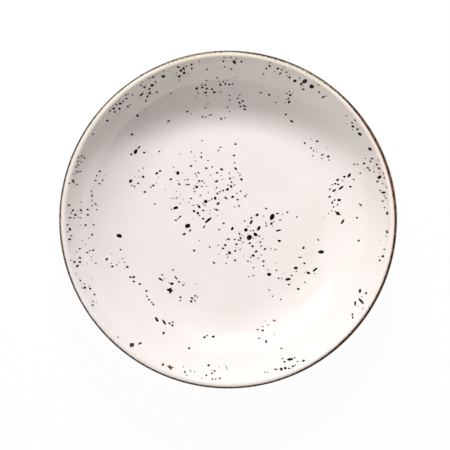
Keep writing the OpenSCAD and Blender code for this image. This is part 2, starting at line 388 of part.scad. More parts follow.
    [-100, -33, 1.6, 0.8, -60], [-92.2, -29.9, 1.9, 1.4, 80], [-88.1, -35.7, 1.8, 1.5, 20],
    [-110, -45.2, 2, 1.1, -50], [-113, -40.2, 1.1, 0.9, 0], [-107, -48, 1.1, 0.7, 45],
    [-106.7, -50.7, 1.8, 1.6, 20], [-103.2, -51.6, 1.8, 1.2, -45], [-100.1, -56.1, 1.6, 1, -40],
    // In two of the clusters
    [-35.2, 111.2, 2, 1.5, 25], [-27.6, -60, 2, 1.3, -50], [-28.3, -62.4, 1.8, 1.5, -30]
];

// Rust and olive flecks: across, up, length, width, lean of the long side
rust_laid = [
    [-7.5, 12.5, 2.8, 2.2, 40], [-9, 7.7, 4.2, 1.5, -15], [-29, -8.3, 3.2, 1.2, 60],
    [-44.3, -54, 5.2, 4.4, -30], [-25.2, -62, 2.9, 0.9, -49], [81, 22.3, 4, 1.4, 37],
    [77.8, 23.2, 2.4, 0.9, 38], [83.8, 5, 4.6, 2.3, -38], [76.9, 45.5, 1.5, 1.1, 0],
    [72.1, 49.6, 2.4, 1.3, 12], [35.5, -77, 2.6, 1.2, -15], [55, -28.7, 2.4, 0.9, 5],
    [113.2, -30.4, 1.8, 1.4, 40], [118.2, -9, 2.6, 1.6, 85], [-43, -110, 4.8, 2.6, -32],
    [-71.5, -93.5, 3.5, 2.8, 40], [-20.4, 51.3, 1.4, 1.3, 0], [-20.4, 47.9, 2, 1.6, 10],
    [-20, 25.3, 1.5, 1.1, 0], [-25.5, 21.6, 1.8, 1, 20], [25.3, -20.1, 1.5, 1.2, 20]
];

// Swarms of the finest dark flecks: across, up, half the length, half the width, lean of the
// long side, count
swarms = [
    // On the floor
    [-16, 27, 30, 17, 30, 16],
    [-14, 8, 20, 10, 20, 6],
    [13, -17, 18, 12, -30, 12],
    [24, -29, 16, 12, -40, 6],
    [34, 0, 16, 9, 10, 4],
    [3, 33, 9, 24, 0, 5],
    [50, -40, 22, 12, -25, 5],
    [-40, -50, 16, 14, -30, 6],
    [-62, 32, 18, 14, -20, 6],
    [-32, 46, 16, 12, 20, 5],
    [-2, -22, 14, 12, 20, 4],
    // On the curve of the wall
    [83, 18, 24, 8, 75, 7],
    [66, 54, 16, 8, -35, 4],
    [-81, -36, 22, 5, -40, 5],
    [28, -85, 10, 10, 0, 4],
    [11, 87, 8, 7, -60, 3],
    [-14, 98, 14, 7, -5, 6],
    [3, 104, 16, 10, 0, 9],
    [43, 92, 14, 8, 40, 5],
    [-60, 95, 13, 8, 45, 8],
    [-16, 84, 20, 8, 10, 4],
    [99, -62, 12, 8, 80, 4],
    [-100, 24, 18, 6, 80, 5],
    [104, 42, 12, 8, -60, 6],
    // Under the lip
    [-81, 86, 13, 4, 48, 14],
    [-35, 111, 9, 4, 15, 6],
    [38, 111, 12, 4, -20, 6],
    [58, 101, 14, 4, -30, 6],
    [94, 68, 13, 4, -55, 5],
    [114, 28, 15, 4, -75, 7],
    [114, -20, 16, 4, 80, 3],
    [48, -108, 14, 4, 20, 4],
    [-12, -113, 14, 5, 5, 6],
    [-112, 38, 14, 5, 75, 7],
    [-112, 4, 18, 7, 88, 9],
    [-108, -28, 18, 7, -75, 9],
    [-103, -57, 14, 4, -60, 4]
];
outside_seed = 900;
outside_low = 10;
outside_high = 4;
outside_most = 2.6;

// A fleck on the plan: place, length, width, lean and the seed of its outline
function laid_flecks(rows, first) = [
    for (i = [0:len(rows) - 1])
        let (row = rows[i])
            [spread * [row[0], row[1]], grow * row[2], grow * row[3], row[4], first + i]
];

// The small flecks of one swarm lie closest in its middle, and most of them are near the smallest size
function swarm_flecks(row, seed) = [
    for (k = [0:row[5] - 1])
        let (
            chance = rands(0, 1, 7, seed + k),
            along = row[2] * (chance[0] + chance[1] - 1),
            aside = row[3] * (chance[2] + chance[3] - 1),
            lean = row[4],
            place = [row[0], row[1]] + along * [cos(lean), sin(lean)] + aside * [-sin(lean), cos(lean)],
            length = fine_min + (fine_max - fine_min) * pow(chance[4], 2)
        )
            [spread * place, length, length * (0.55 + 0.45 * chance[5]), lean + 180 * chance[6], seed + k]
];

// Flecks on the outside, spread round the plate by the golden angle between the foot ring and the lip
function outside_flecks() = [
    for (k = [0:outside_count - 1])
        let (
            chance = rands(0, 1, 5, outside_seed + k),
            low = foot_out + outside_low,
            high = floor_r + bowl_out * sin(wall_a) - outside_high,
            r = low + (high - low) * chance[0],
            a = 137.5 * k + 40 * chance[1],
            length = fine_min + (fine_max - fine_min) * outside_most * pow(chance[2], 2),
            width = length * (0.5 + 0.5 * chance[3])
        )
            [r * [cos(a), sin(a)], length, width, 180 * chance[4], outside_seed + k]
];

// How far a fleck reaches from its place towards another
function half_reach(fleck, way) =
    let (turn = atan2(way.y, way.x) - fleck[LEAN])
        norm([fleck[LENGTH] * cos(turn), fleck[WIDTH] * sin(turn)]) / 2;

// Whether two flecks come too near, on the line between their places
function near(a, b) =
    let (apart = b[AT] - a[AT], far = norm(apart))
        far < (a[LENGTH] + b[LENGTH]) / 2 + fleck_gap
        && far < half_reach(a, apart) + half_reach(b, apart) + fleck_gap;

// The flecks of a list that lie clear of those in others and of those before them in the list
function clear_flecks(list, others) = [
    for (i = [0:len(list) - 1])
        let (
            crowd = [for (other = others) if (near(list[i], other)) other],
            earlier = [for (k = [0:1:i - 1]) if (near(list[i], list[k])) k]
        )
            if (len(crowd) + len(earlier) == 0 && norm(list[i][AT]) + list[i][LENGTH] / 2 < crest_r) list[i]
];

laid_dark = clear_flecks(laid_flecks(dark_laid, 100), []);
laid_rust = clear_flecks(laid_flecks(rust_laid, 600), laid_dark);
small_dark = clear_flecks(
    [for (i = [0:len(swarms) - 1]) each swarm_flecks(swarms[i], 1000 + 100 * i)],
    concat(laid_dark, laid_rust)
);
outside_dark = clear_flecks(outside_flecks(), []);

// Uneven outline of a fleck, turned to its lean and then drawn out up the slope
module fleck_outline(fleck, corners, least, turn, draw) {
    reach = rands(least, 1, corners, fleck[SEED]);
    polygon([
        for (i = [0:corners - 1])
            let (
                a = 360 * i / corners,
                at = reach[i] / 2 * [fleck[LENGTH] * cos(a), fleck[WIDTH] * sin(a)]
            )
                [draw * (at.x * cos(turn) - at.y * sin(turn)), at.x * sin(turn) + at.y * cos(turn)]
    ]);
}

// A fleck on the inside: flat on the floor, leaning with the wall, or over the inner half of the lip
module inside_fleck(fleck, corners, least) {
    r = norm(fleck[AT]);
    a = atan2(fleck[AT].y, fleck[AT].x);
    on_wall = r > floor_r;
    on_lip = r > edge_r;
    slope = on_lip ? acos((r - lip_c.x) / lip_r) - 90 : on_wall ? asin((r - floor_r) / bowl_r) : 0;
    z = on_lip ? lip_c.y + lip_r * cos(slope) : bowl_c.y - bowl_r * cos(slope);
    on_curve = r + fleck[LENGTH] / 2 > floor_r;
    room = bowl_r * (wall_a - slope) * PI / 180;
    plan_half = half_reach(fleck, fleck[AT]);
    draw = on_lip ? 1 : max(1, min(draw_most, 1 / cos(slope), room / plan_half));
    half = draw * plan_half;
    lift = on_curve ? pow(max(half, fleck[WIDTH] / 2), 2) / (2 * bowl_r) : 0;
    translate([fleck[AT].x, fleck[AT].y, z])
        rotate([0, -slope, a])
            translate([0, 0, lift])
                linear_extrude(fleck_t) fleck_outline(fleck, corners, least, fleck[LEAN] - a, draw);
}

// A fleck on the outside of the wall
module outside_fleck(fleck, corners, least) {
    r = norm(fleck[AT]);
    a = atan2(fleck[AT].y, fleck[AT].x);
    slope = asin((r - floor_r) / bowl_out);
    translate([fleck[AT].x, fleck[AT].y, under_z(r)])
        rotate([0, 180 - slope, a])
            linear_extrude(fleck_t) fleck_outline(fleck, corners, least, fleck[LEAN], 1);
}

// How far a fleck may be drawn out, how many corners it has, and how far in the deepest may lie
draw_most = 2.6;
large_corners = 8;
large_least = 0.82;
small_corners = 5;
small_least = 0.8;
rust_corners = 9;
rust_least = 0.55;

module dark_flecks() {
    color("black") {
        for (fleck = laid_dark) inside_fleck(fleck, large_corners, large_least);
        for (fleck = small_dark) inside_fleck(fleck, small_corners, small_least);
        for (fleck = outside_dark) outside_fleck(fleck, small_corners, small_least);
    }
}

module rust_flecks() {
    color("sienna")
        for (fleck = laid_rust) inside_fleck(fleck, rust_corners, rust_least);
}

ceramic_body();
inner_glaze();
outer_glaze();
base_glaze();
rim_band();
dark_flecks();
rust_flecks();
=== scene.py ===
# %% [markdown]
# # Dressing a deep plate
#
# The real object is one pressed ceramic body under thin coats of glossy cream glaze. A brown iron band is
# brushed along its lip, and hundreds of dark flecks lie in the glaze. The CAD model gives each of these
# layers its place and its size. This lesson loads that model as a fixed frame, models a finer skin for each
# layer, gives it its finish, and lights it as in a product photograph taken from straight above.

# %% Load the CAD model as the frame
import math
import random

import bmesh
import bpy
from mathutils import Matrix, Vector


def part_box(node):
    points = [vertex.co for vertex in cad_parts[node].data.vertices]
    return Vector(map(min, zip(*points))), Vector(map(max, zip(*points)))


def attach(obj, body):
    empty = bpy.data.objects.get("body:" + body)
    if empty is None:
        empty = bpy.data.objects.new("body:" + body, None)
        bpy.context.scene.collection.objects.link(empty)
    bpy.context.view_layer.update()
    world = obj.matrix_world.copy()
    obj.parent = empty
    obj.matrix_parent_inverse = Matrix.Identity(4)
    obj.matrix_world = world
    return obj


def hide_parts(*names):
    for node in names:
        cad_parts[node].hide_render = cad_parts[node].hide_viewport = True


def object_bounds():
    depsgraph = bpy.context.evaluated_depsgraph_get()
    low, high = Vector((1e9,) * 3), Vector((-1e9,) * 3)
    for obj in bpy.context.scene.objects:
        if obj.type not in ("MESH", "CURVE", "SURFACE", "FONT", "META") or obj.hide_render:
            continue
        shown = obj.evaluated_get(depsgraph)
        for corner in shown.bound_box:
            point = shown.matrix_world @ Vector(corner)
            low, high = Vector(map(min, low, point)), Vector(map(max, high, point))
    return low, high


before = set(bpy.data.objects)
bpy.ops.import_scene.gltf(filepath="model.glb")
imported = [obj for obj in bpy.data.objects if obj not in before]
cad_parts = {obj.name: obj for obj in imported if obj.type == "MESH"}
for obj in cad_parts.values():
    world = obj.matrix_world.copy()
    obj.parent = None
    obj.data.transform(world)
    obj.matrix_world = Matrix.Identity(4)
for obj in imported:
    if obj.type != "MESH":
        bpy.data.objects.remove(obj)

MM_PER_M = 1000

cad_low, cad_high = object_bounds()
print("CAD box in mm, low and high:", [round(MM_PER_M * x, 2) for x in (*cad_low, *cad_high)])

# %% [markdown]
# ## The camera
#
# The photograph looks straight down, so the camera hangs over the plate with no turn at all: in Blender an
# unturned camera looks along -Z with +Y at the top. The far rim and the near rim show the same width of wall,
# which means a long lens from more than a metre away. The plate sits a little right of the middle and above
# it, and moving the camera does that without any lens shift.

# %% Hang the camera over the plate
CAMERA_OVER_RIM = 1.2
CAMERA_ASIDE = (-0.0023, -0.0040)
FRAME_WIDTH = 0.332

bpy.ops.object.select_all(action="DESELECT")
bpy.ops.object.camera_add(location=(*CAMERA_ASIDE, cad_high.z + CAMERA_OVER_RIM), rotation=(0, 0, 0))
camera = bpy.context.object
camera.name = "overhead_camera"
camera.data.lens = camera.data.sensor_width * CAMERA_OVER_RIM / FRAME_WIDTH
bpy.context.scene.camera = camera
print("lens in mm:", round(camera.data.lens, 1))

# %% [markdown]
# ## The section of the plate
#
# A plate is one section turned about its axis: a flat floor, one long curve up the wall, and a lip that is
# a full round. The coats follow the same lines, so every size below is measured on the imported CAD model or
# is one of its driving sizes, and the centres of the two curves follow from them.

# %% Measure the section
GLAZE = 0.0004
HAIRLINE = 0.00002
BOWL_R = 0.055
FOOT_OUT = 0.070
FOOT_BEVEL = 0.0008
FOOT_HOLLOW = 0.0015
BAND_END = math.radians(88)
BED = GLAZE + HAIRLINE

plate_r = min(cad_high.x, cad_high.y, -cad_low.x, -cad_low.y)
plate_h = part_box("rim_band")[1].z
floor_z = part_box("inner_glaze")[0].z + GLAZE
under_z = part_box("base_glaze")[1].z - GLAZE
glaze_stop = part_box("base_glaze")[0].z
foot_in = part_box("base_glaze")[1].x + HAIRLINE
wall_t = floor_z - under_z
bowl_out = BOWL_R + wall_t
lip_r = wall_t / 2
lip_c = (plate_r - lip_r, plate_h - lip_r)
wall_a = math.acos((floor_z + BOWL_R - lip_c[1]) / (BOWL_R + lip_r))
floor_r = lip_c[0] - (BOWL_R + lip_r) * math.sin(wall_a)
bowl_c = (floor_r, floor_z + BOWL_R)
print("wall in mm:", round(MM_PER_M * wall_t, 2))
print("flat floor radius in mm:", round(MM_PER_M * floor_r, 2))

# %% [markdown]
# ## Drawing a section and turning it
#
# A potter's rib gives a plate its section, and the wheel does the rest. Here a plane is merged to a single
# point, which is then drawn out: a straight line is an extrude, and an arc is a spin of the last point
# about the arc's centre. One more spin, about the plate's axis, turns the finished line into a skin. Where
# the line closes on itself or ends on the axis, the skin is closed, and merging its doubles leaves no seam.

# %% Helpers that draw a section and turn it
SPOKES = 240
SMOOTH_BELOW = math.radians(30)
MERGE_WITHIN = 1e-6


def on_round(centre, r, angle):
    return (centre[0] + r * math.cos(angle), centre[1] + r * math.sin(angle))


def draw_line(pen, end, parts=1):
    step = ((end[0] - pen[0]) / parts, 0, (end[1] - pen[1]) / parts)
    for _ in range(parts):
        bpy.ops.mesh.extrude_region_move(TRANSFORM_OT_translate={"value": step})
    return end


def draw_arc(pen, centre, turn, parts):
    bpy.ops.mesh.spin(steps=parts, angle=turn, center=(centre[0], 0, centre[1]), axis=(0, 1, 0))
    across, up = pen[0] - centre[0], pen[1] - centre[1]
    return on_round(centre, math.hypot(across, up), math.atan2(up, across) + turn)


def turned_piece(name, start, moves):
    bpy.ops.object.select_all(action="DESELECT")
    bpy.ops.mesh.primitive_plane_add(size=wall_t)
    piece = bpy.context.object
    piece.name = name
    piece.data.name = name
    bpy.ops.object.mode_set(mode="EDIT")
    bpy.ops.mesh.select_mode(type="VERT")
    bpy.ops.mesh.merge(type="CENTER")
    bpy.ops.transform.translate(value=(start[0], 0, start[1]))
    pen = start
    for draw, *how in moves:
        pen = draw(pen, *how)
    bpy.ops.mesh.select_all(action="SELECT")
    bpy.ops.mesh.spin(steps=SPOKES, angle=math.tau, center=(0, 0, 0), axis=(0, 0, 1))
    bpy.ops.mesh.select_all(action="SELECT")
    bpy.ops.mesh.remove_doubles(threshold=MERGE_WITHIN)
    bpy.ops.mesh.normals_make_consistent(inside=False)
    bpy.ops.object.mode_set(mode="OBJECT")
    bpy.ops.object.shade_smooth_by_angle(angle=SMOOTH_BELOW)
    high = max(vertex.co.z for vertex in piece.data.vertices)
    print(name, "faces:", len(piece.data.polygons), "top in mm:", round(MM_PER_M * high, 2))
    return piece


def dress(piece, node):
    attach(piece, "root")
    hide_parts(node)


# %% [markdown]
# ## The coat inside the plate
#
# The glaze that the photograph shows is one coat over the floor, the wall and the inner half of the lip. It
# could be a sheet thickened by Solidify, but the section is known on both of its sides, so drawing both gives
# an even coat that ends square against the brown band.

# %% Turn the inner coat
ARC_PARTS = 40
LIP_PARTS = 14
FLOOR_PARTS = 8
quarter = math.pi / 2
lip_turn = wall_a + quarter - BAND_END

inner_coat = turned_piece("inner_coat", (0, floor_z), [
    (draw_line, (floor_r, floor_z), FLOOR_PARTS),
    (draw_arc, bowl_c, wall_a, ARC_PARTS),
    (draw_arc, lip_c, -lip_turn, LIP_PARTS),
    (draw_line, on_round(lip_c, lip_r - GLAZE, BAND_END)),
    (draw_arc, lip_c, lip_turn, LIP_PARTS),
    (draw_arc, bowl_c, -wall_a, ARC_PARTS),
    (draw_line, (0, floor_z - GLAZE), FLOOR_PARTS),
])
dress(inner_coat, "inner_glaze")

# %% [markdown]
# ## The coats outside and under the plate
#
# Outside, the same glaze runs from the lip down the wall, round the hollow above the foot ring and down the
# ring, where it stops short of the table. Inside the ring the underside of the floor has its own coat. The
# hollow is the only new line: a small round that meets the wall and the ring.

# %% Turn the outer coat and the base coat
HOLLOW_PARTS = 10
FOOT_PARTS = 2
hollow_x = FOOT_OUT + BED + FOOT_HOLLOW
hollow_lean = math.asin((hollow_x - floor_r) / (bowl_out + FOOT_HOLLOW))
hollow_c = on_round(bowl_c, bowl_out + FOOT_HOLLOW, hollow_lean - quarter)
hollow_turn = quarter - hollow_lean
outer_turn = wall_a - hollow_lean

outer_coat = turned_piece("outer_coat", (FOOT_OUT + BED, glaze_stop), [
    (draw_line, (FOOT_OUT + BED, hollow_c[1]), FOOT_PARTS),
    (draw_arc, hollow_c, -hollow_turn, HOLLOW_PARTS),
    (draw_arc, bowl_c, outer_turn, ARC_PARTS),
    (draw_line, on_round(lip_c, lip_r - GLAZE, wall_a - quarter)),
    (draw_arc, bowl_c, -outer_turn, ARC_PARTS),
    (draw_arc, hollow_c, hollow_turn, HOLLOW_PARTS),
    (draw_line, (FOOT_OUT + HAIRLINE, glaze_stop), FOOT_PARTS),
    (draw_line, (FOOT_OUT + BED, glaze_stop)),
])
dress(outer_coat, "outer_glaze")

base_coat = turned_piece("base_coat", (0, under_z), [
    (draw_line, (foot_in - BED, under_z), FLOOR_PARTS),
    (draw_line, (foot_in - BED, glaze_stop), FOOT_PARTS),
    (draw_line, (foot_in - HAIRLINE, glaze_stop)),
    (draw_line, (foot_in - HAIRLINE, under_z + GLAZE), FOOT_PARTS),
    (draw_line, (0, under_z + GLAZE), FLOOR_PARTS),
])
dress(base_coat, "base_glaze")

# %% [markdown]
# ## The clay body
#
# Under the coats is the fired clay. It shows in one place only, the ground resting face of the foot ring, but
# it is modelled whole so that the part is as solid as the real one.

# %% Turn the clay body
REST_PARTS = 3
foot_top = under_z + BED

clay_body = turned_piece("clay_body", (0, floor_z - BED), [
    (draw_line, (floor_r, floor_z - BED), FLOOR_PARTS),
    (draw_arc, bowl_c, wall_a, ARC_PARTS),
    (draw_arc, lip_c, -math.pi, 2 * LIP_PARTS),
    (draw_arc, bowl_c, -outer_turn, ARC_PARTS),
    (draw_arc, hollow_c, hollow_turn, HOLLOW_PARTS),
    (draw_line, (FOOT_OUT, FOOT_BEVEL), FOOT_PARTS),
    (draw_line, (FOOT_OUT - FOOT_BEVEL, 0)),
    (draw_line, (foot_in + FOOT_BEVEL, 0), REST_PARTS),
    (draw_line, (foot_in, FOOT_BEVEL)),
    (draw_line, (foot_in, foot_top), FOOT_PARTS),
    (draw_line, (0, foot_top), FLOOR_PARTS),
])
dress(clay_body, "ceramic_body")

# %% [markdown]
# ## The brown band along the lip
#
# Iron oxide is run along the lip by hand, so the band is nowhere the same: a thin line at the upper left, a
# broad mottled stretch at the right. The skin covers the whole of the band's room on the lip. How far the
# brush came in at each place is written on its vertices as a distance from the brush's border, counted in
# widths of the fringe there, and so is how rusty the iron fired. The finish turns the two into brown, rust,
# tan and cream. The three lists go round the lip from the right by way of the far side, one value for every
# step of the brush, with the widths in millimetres.

# %% Turn the rim band and write the brush's strokes on it
BAND_LOW = wall_a - quarter
BAND_PARTS = 16
BRUSH_STEP = 15
brush_widths = [
    2.1, 2.5, 2.6, 1.8, 1.5, 1.7, 1.35, 1.5, 1.25, 1.25, 1.35, 1.4,
    1.4, 1.5, 1.25, 1.4, 1.35, 1.4, 1.4, 1.4, 1.7, 2.1, 1.95, 2.05,
]
fringe_widths = [
    0.5, 0.6, 0.6, 0.6, 1.5, 0.9, 0.8, 1.6, 0.6, 0.6, 0.7, 0.7,
    0.7, 0.6, 0.5, 0.6, 0.5, 0.5, 0.5, 0.5, 0.6, 1.0, 0.7, 0.6,
]
rust_shares = [
    0.75, 0.9, 0.9, 0.6, 0.4, 0.5, 0.75, 0.65, 0.75, 0.7, 0.5, 0.4,
    0.75, 0.5, 0.3, 0.5, 0.5, 0.65, 0.5, 0.45, 0.55, 0.45, 0.5, 0.6,
]


def brushed(values, degrees):
    place = degrees % 360 / BRUSH_STEP
    first = int(place) % len(values)
    second = (first + 1) % len(values)
    share = place - int(place)
    return values[first] * (1 - share) + values[second] * share


rim_edge = turned_piece("rim_edge", on_round(lip_c, lip_r, BAND_LOW), [
    (draw_arc, lip_c, BAND_END - BAND_LOW, BAND_PARTS),
    (draw_line, on_round(lip_c, lip_r - GLAZE, BAND_END)),
    (draw_arc, lip_c, BAND_LOW - BAND_END, BAND_PARTS),
    (draw_line, on_round(lip_c, lip_r, BAND_LOW)),
])
borders = []
shares = []
for vertex in rim_edge.data.vertices:
    r = math.hypot(vertex.co.x, vertex.co.y)
    around = math.degrees(math.atan2(vertex.co.y, vertex.co.x))
    over = vertex.co.z > lip_c[1]
    inward = MM_PER_M * (plate_r - r) if over else 0
    borders.append((inward - brushed(brush_widths, around)) / brushed(fringe_widths, around))
    shares.append(brushed(rust_shares, around))
for name, values in (("border", borders), ("rust", shares)):
    rim_edge.data.attributes.new(name, "FLOAT", "POINT").data.foreach_set("value", values)
dress(rim_edge, "rim_band")
print("brush widths in mm, least and most:", min(brush_widths), max(brush_widths))

# %% [markdown]
# ## Where the flecks lie
#
# In the CAD model each fleck is a small flat prism on the glaze. Its place, length, width and lean are read
# from a merged copy of the CAD mesh, one island of faces at a time, so that nothing is laid out twice.

# %% Measure the CAD flecks


def islands(node):
    mesh = bmesh.new()
    mesh.from_mesh(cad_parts[node].data)
    bmesh.ops.remove_doubles(mesh, verts=mesh.verts, dist=MERGE_WITHIN)
    met = set()
    found = []
    for start in mesh.verts:
        if start in met:
            continue
        met.add(start)
        island = [start]
        for corner in island:
            for edge in corner.link_edges:
                other = edge.other_vert(corner)
                if other not in met:
                    met.add(other)
                    island.append(other)
        found.append([corner.co.copy() for corner in island])
    mesh.free()
    return found


def glaze_frame(place, outside):
    r = math.hypot(place.x, place.y)
    out = Vector((place.x / r, place.y / r, 0))
    if r <= floor_r:
        slope = 0
    elif outside or place.z < on_round(bowl_c, BOWL_R, wall_a - quarter)[1]:
        slope = math.atan2(r - floor_r, bowl_c[1] - place.z)
    else:
        slope = math.atan2(place.z - lip_c[1], r - lip_c[0]) - quarter
    up_hill = out * math.cos(slope) + Vector((0, 0, math.sin(slope)))
    normal = Vector((0, 0, math.cos(slope))) - out * math.sin(slope)
    return up_hill, normal.cross(up_hill), -normal if outside else normal


def measured_fleck(corners):
    place = sum(corners, Vector()) / len(corners)
    r = math.hypot(place.x, place.y)
    reach = math.hypot(r - floor_r, place.z - bowl_c[1])
    outside = r > floor_r and reach > BOWL_R + lip_r and place.z < lip_c[1]
    up_hill, across, normal = glaze_frame(place, outside)
    flat = [((c - place).dot(up_hill), (c - place).dot(across)) for c in corners]
    uu = sum(u * u for u, v in flat)
    uv = sum(u * v for u, v in flat)
    vv = sum(v * v for u, v in flat)
    lean = math.atan2(2 * uv, uu - vv) / 2
    along = [u * math.cos(lean) + v * math.sin(lean) for u, v in flat]
    aside = [v * math.cos(lean) - u * math.sin(lean) for u, v in flat]
    long_way = up_hill * math.cos(lean) + across * math.sin(lean)
    return {
        "place": place,
        "outside": outside,
        "long_way": long_way,
        "wide_way": normal.cross(long_way),
        "length": max(along) - min(along),
        "width": max(aside) - min(aside),
    }


cad_flecks = {}
for node in ("dark_flecks", "rust_flecks"):
    cad_flecks[node] = [measured_fleck(corners) for corners in islands(node)]
    lengths = [MM_PER_M * fleck["length"] for fleck in cad_flecks[node]]
    outside = sum(fleck["outside"] for fleck in cad_flecks[node])
    print(node, "flecks:", len(lengths), "outside:", outside)
    print("length in mm, least and most:", round(min(lengths), 2), round(max(lengths), 2))

# %% [markdown]
# ## A few fleck shapes
#
# A fleck is a grain of iron that melted into the glaze: a low, uneven mound with a rounded edge. Six round
# shapes and four splintered ones are modelled once, each from a circle whose corners are shaken, drawn up in
# three steps that close in to a flat top. The round ones are smoothed after the shaking. On the splintered
# ones every third corner is first drawn out to a tip and the rest are drawn in. How high a vertex lies is
# kept on it, because the finish is darkest in the middle of a grain.

# %% Model the fleck shapes
FLECK_CORNERS = 12
ROUND_SHAPES = 6
SPLINTER_SHAPES = 4
SPLINTER_TIP = 1.3
SPLINTER_NECK = 0.85
TIP_EVERY = 3
FLECK_SHAKE = 0.25
FLECK_SMOOTH = 0.5
SMOOTH_SWELL = 1.07
FLECK_STEPS = [(0.55, 1.0), (0.55, 0.74), (0.25, 0.5)]
FLECK_SINK = -0.35


def fleck_shape(index, splintered):
    bpy.ops.object.select_all(action="DESELECT")
    bpy.ops.mesh.primitive_circle_add(vertices=FLECK_CORNERS, radius=1, fill_type="NGON")
    shape = bpy.context.object
    shape.name = f"fleck_shape_{index}"
    if splintered:
        for vertex in shape.data.vertices:
            vertex.co *= SPLINTER_NECK if vertex.index % TIP_EVERY else SPLINTER_TIP
    bpy.ops.object.mode_set(mode="EDIT")
    bpy.ops.transform.vertex_random(offset=FLECK_SHAKE, uniform=1.0, normal=0.0, seed=index)
    if not splintered:
        bpy.ops.mesh.vertices_smooth(factor=FLECK_SMOOTH)
        bpy.ops.transform.resize(value=(SMOOTH_SWELL, SMOOTH_SWELL, 1))
    bpy.ops.transform.resize(value=(1, 1, 0))
    bpy.ops.transform.translate(value=(0, 0, FLECK_SINK))
    for rise, closer in FLECK_STEPS:
        bpy.ops.mesh.extrude_region_move(TRANSFORM_OT_translate={"value": (0, 0, rise)})
        bpy.ops.transform.resize(value=(closer, closer, 1))
    bpy.ops.mesh.select_all(action="SELECT")
    bpy.ops.mesh.normals_make_consistent(inside=False)
    bpy.ops.object.mode_set(mode="OBJECT")
    bpy.ops.object.shade_smooth()
    middle = shape.data.attributes.new("middle", "FLOAT", "POINT")
    for vertex, value in zip(shape.data.vertices, middle.data):
        value.value = max(0, min(1, vertex.co.z))
    return shape


round_shapes = [fleck_shape(index, False) for index in range(ROUND_SHAPES)]
splinter_shapes = [fleck_shape(ROUND_SHAPES + index, True) for index in range(SPLINTER_SHAPES)]
print("faces of a fleck:", len(round_shapes[0].data.polygons))

# %% [markdown]
# ## Laying the flecks in the glaze
#
# Each copy takes its length, width and lean from the CAD fleck that it stands for, and a little more, since
# iron bleeds into the glaze around it. The glaze is curved, so every vertex is seated on it: it keeps its
# height over the coat wherever the coat bends away. The copies of one kind are joined, and each keeps a tone
# of its own from a seed that its place gives.

# %% Copy, seat and join the flecks
FLECK_T = 0.00007
FLECK_BLEED = 0.0001
SEED_STEPS = 1e4
SEED_STRIDE = 10007


def seated(point, height, outside):
    r = math.hypot(point.x, point.y)
    across, up = r - bowl_c[0], point.z - bowl_c[1]
    slope = math.atan2(across, -up)
    if across <= 0:
        return Vector((point.x, point.y, floor_z + height))
    if outside:
        seat_r, seat_z = on_round(bowl_c, bowl_out + height, slope - quarter)
    elif slope <= wall_a:
        seat_r, seat_z = on_round(bowl_c, BOWL_R - height, slope - quarter)
    else:
        turn = math.atan2(point.z - lip_c[1], r - lip_c[0])
        seat_r, seat_z = on_round(lip_c, lip_r + height, turn)
    return Vector((point.x * seat_r / r, point.y * seat_r / r, seat_z))


def laid_fleck(fleck, shapes):
    place = fleck["place"]
    seed = round(place.x * SEED_STEPS) * SEED_STRIDE + round(place.y * SEED_STEPS)
    chance = random.Random(seed)
    shape = shapes[chance.randrange(len(shapes))]
    copy = shape.copy()
    copy.data = shape.data.copy()
    bpy.context.collection.objects.link(copy)
    long_way = fleck["long_way"] * (fleck["length"] / 2 + FLECK_BLEED)
    wide_way = fleck["wide_way"] * (fleck["width"] / 2 + FLECK_BLEED)
    for vertex in copy.data.vertices:
        flat = place + long_way * vertex.co.x + wide_way * vertex.co.y
        vertex.co = seated(flat, FLECK_T * vertex.co.z, fleck["outside"])
    tone = copy.data.attributes.new("tone", "FLOAT", "POINT")
    tone.data.foreach_set("value", [chance.random()] * len(copy.data.vertices))
    return copy


def joined_flecks(name, node, shapes):
    bpy.ops.object.select_all(action="DESELECT")
    copies = [laid_fleck(fleck, shapes) for fleck in cad_flecks[node]]
    for copy in copies:
        copy.select_set(True)
    bpy.context.view_layer.objects.active = copies[0]
    bpy.ops.object.join()
    piece = bpy.context.object
    piece.name = name
    piece.data.name = name
    dress(piece, node)
    print(name, "flecks:", len(cad_flecks[node]), "faces:", len(piece.data.polygons))
    return piece


black_grains = joined_flecks("black_grains", "dark_flecks", round_shapes)
rust_grains = joined_flecks("rust_grains", "rust_flecks", splinter_shapes)
bpy.ops.object.select_all(action="DESELECT")
for shape in round_shapes + splinter_shapes:
    shape.select_set(True)
bpy.ops.object.delete()

# %% [markdown]
# ## Building a finish from nodes
#
# Every finish below is a Principled shader whose colour and bump come from a few texture nodes. By hand,
# these are added in the shader editor and wired up. Here a short helper stands for each such move: it adds a
# node, sets its numbers, wires what goes in and hands back what comes out, so a finish reads as a recipe.
# The Mix node has a set of sockets under the same names for every kind of data, so the ones for colours are
# found by their numbers.

# %% Helpers that build a finish
MIX_SHARE_IN = 0
MIX_COLOURS_IN = (6, 7)
MIX_COLOUR_OUT = 2


def new_finish(name, roughness):
    material = bpy.data.materials.new(name)
    material.use_nodes = True
    shader = material.node_tree.nodes["Principled BSDF"]
    shader.inputs["Roughness"].default_value = roughness
    return material, shader


def add_node(material, kind, **settings):
    node = material.node_tree.nodes.new(kind)
    for name, value in settings.items():
        setattr(node, name, value)
    return node


def join(material, start, end):
    material.node_tree.links.new(start, end)


def add_noise(material, scale, detail=2.0):
    place = add_node(material, "ShaderNodeTexCoord")
    noise = add_node(material, "ShaderNodeTexNoise")
    noise.inputs["Scale"].default_value = scale
    noise.inputs["Detail"].default_value = detail
    join(material, place.outputs["Object"], noise.inputs["Vector"])
    return noise.outputs["Fac"]


def add_range(material, value, low, high, to_low=0.0, to_high=1.0):
    node = add_node(material, "ShaderNodeMapRange")
    join(material, value, node.inputs["Value"])
    for name, number in (("From Min", low), ("From Max", high), ("To Min", to_low), ("To Max", to_high)):
        node.inputs[name].default_value = number
    return node.outputs["Result"]


